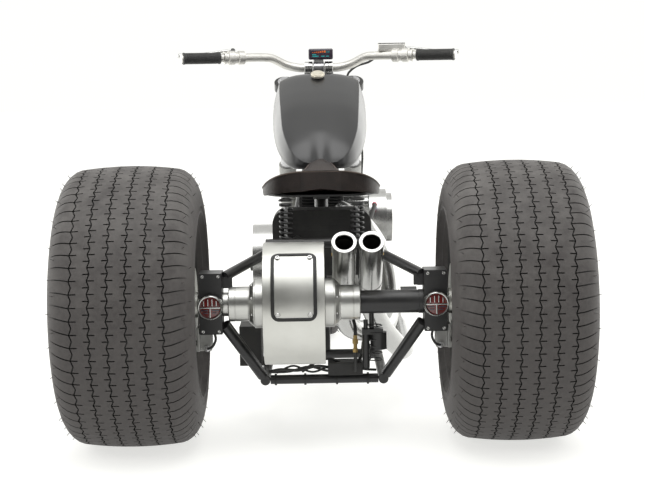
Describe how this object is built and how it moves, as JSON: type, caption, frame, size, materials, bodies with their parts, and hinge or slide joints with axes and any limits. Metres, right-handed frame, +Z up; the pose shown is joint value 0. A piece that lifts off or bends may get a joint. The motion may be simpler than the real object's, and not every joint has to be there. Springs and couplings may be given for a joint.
{
  "type": "motorized trike",
  "caption": "Motor trike with wide rear tyres on an exposed rear axle, a V-twin engine in a rigid tube frame, a solo seat and a raked front fork.",
  "frame": {"origin": "on the ground, in the middle of the machine's length and width", "axes": "+Y forward along the machine, +X to the rider's right, +Z up"},
  "size_m": [1.362, 2.4, 1.0824],
  "materials": {
    "backbone": "satin",
    "downtubes": "satin",
    "lower_rails": "satin",
    "rear_stays": "satin",
    "cross_tubes": "satin",
    "axle_blocks": "satin",
    "axle_tubes": "satin",
    "axle_bells": "brushed",
    "chain_case": "brushed",
    "inspection_cover": "brushed",
    "tail_lights": "gloss",
    "rear_calipers": "polished",
    "exhaust_left": "polished",
    "exhaust_right": "polished",
    "crankcase": "satin",
    "rear_cylinder": "satin",
    "front_cylinder": "satin",
    "primary_cover": "satin",
    "gearbox": "satin",
    "air_cleaner": "polished",
    "oil_tank": "satin",
    "electrics_boxes": "matte",
    "oil_filter": "satin",
    "fuel_tank": "satin",
    "fuel_cap": "satin",
    "seat": "satin",
    "seat_springs": "satin",
    "foot_controls": "satin",
    "fork_yokes": "satin",
    "fork_tubes": "polished",
    "fork_sliders": "satin",
    "front_axle": "satin",
    "handlebar": "polished",
    "grips": "matte",
    "hand_controls": "satin",
    "dash": "gloss",
    "headlight": "gloss",
    "front_caliper": "polished",
    "front_brake_line": "matte",
    "front_wheel": "brushed",
    "front_tyre": "matte",
    "rear_wheel_left": "brushed",
    "rear_tyre_left": "matte",
    "rear_wheel_right": "brushed",
    "rear_tyre_right": "matte"
  },
  "bodies": {
    "frame": {"backbone": "backbone", "downtubes": "downtubes", "lower_rails": "lower_rails", "rear_stays": "rear_stays", "cross_tubes": "cross_tubes", "axle_blocks": "axle_blocks", "axle_tubes": "axle_tubes", "axle_bells": "axle_bells", "chain_case": "chain_case", "inspection_cover": "inspection_cover", "tail_lights": "tail_lights", "rear_calipers": "rear_calipers", "exhaust_left": "exhaust_left", "exhaust_right": "exhaust_right", "crankcase": "crankcase", "rear_cylinder": "rear_cylinder", "front_cylinder": "front_cylinder", "primary_cover": "primary_cover", "gearbox": "gearbox", "air_cleaner": "air_cleaner", "oil_tank": "oil_tank", "electrics_boxes": "electrics_boxes", "oil_filter": "oil_filter", "fuel_tank": "fuel_tank", "fuel_cap": "fuel_cap", "seat": "seat", "seat_springs": "seat_springs", "foot_controls": "foot_controls"},
    "steering": {"fork_yokes": "fork_yokes", "fork_tubes": "fork_tubes", "fork_sliders": "fork_sliders", "front_axle": "front_axle", "handlebar": "handlebar", "grips": "grips", "hand_controls": "hand_controls", "dash": "dash", "headlight": "headlight", "front_caliper": "front_caliper", "front_brake_line": "front_brake_line"},
    "front_wheel_body": {"front_wheel": "front_wheel", "front_tyre": "front_tyre"},
    "rear_wheel_left_body": {"rear_wheel_left": "rear_wheel_left", "rear_tyre_left": "rear_tyre_left"},
    "rear_wheel_right_body": {"rear_wheel_right": "rear_wheel_right", "rear_tyre_right": "rear_tyre_right"}
  },
  "joints": [
    {"name": "steering", "type": "hinge", "parent": "frame", "child": "steering", "pos_m": [0, 0.82855, 0.30204], "axis": [0, -0.5592, 0.829], "range_deg": [-30, 30]},
    {"name": "front_wheel_spin", "type": "hinge", "parent": "steering", "child": "front_wheel_body", "pos_m": [0, 0.87, 0.33], "axis": [1, 0, 0], "continuous": true},
    {"name": "rear_wheel_left_spin", "type": "hinge", "parent": "frame", "child": "rear_wheel_left_body", "pos_m": [-0.5, -0.83, 0.37], "axis": [1, 0, 0], "continuous": true},
    {"name": "rear_wheel_right_spin", "type": "hinge", "parent": "frame", "child": "rear_wheel_right_body", "pos_m": [0.5, -0.83, 0.37], "axis": [1, 0, 0], "continuous": true}
  ]
}
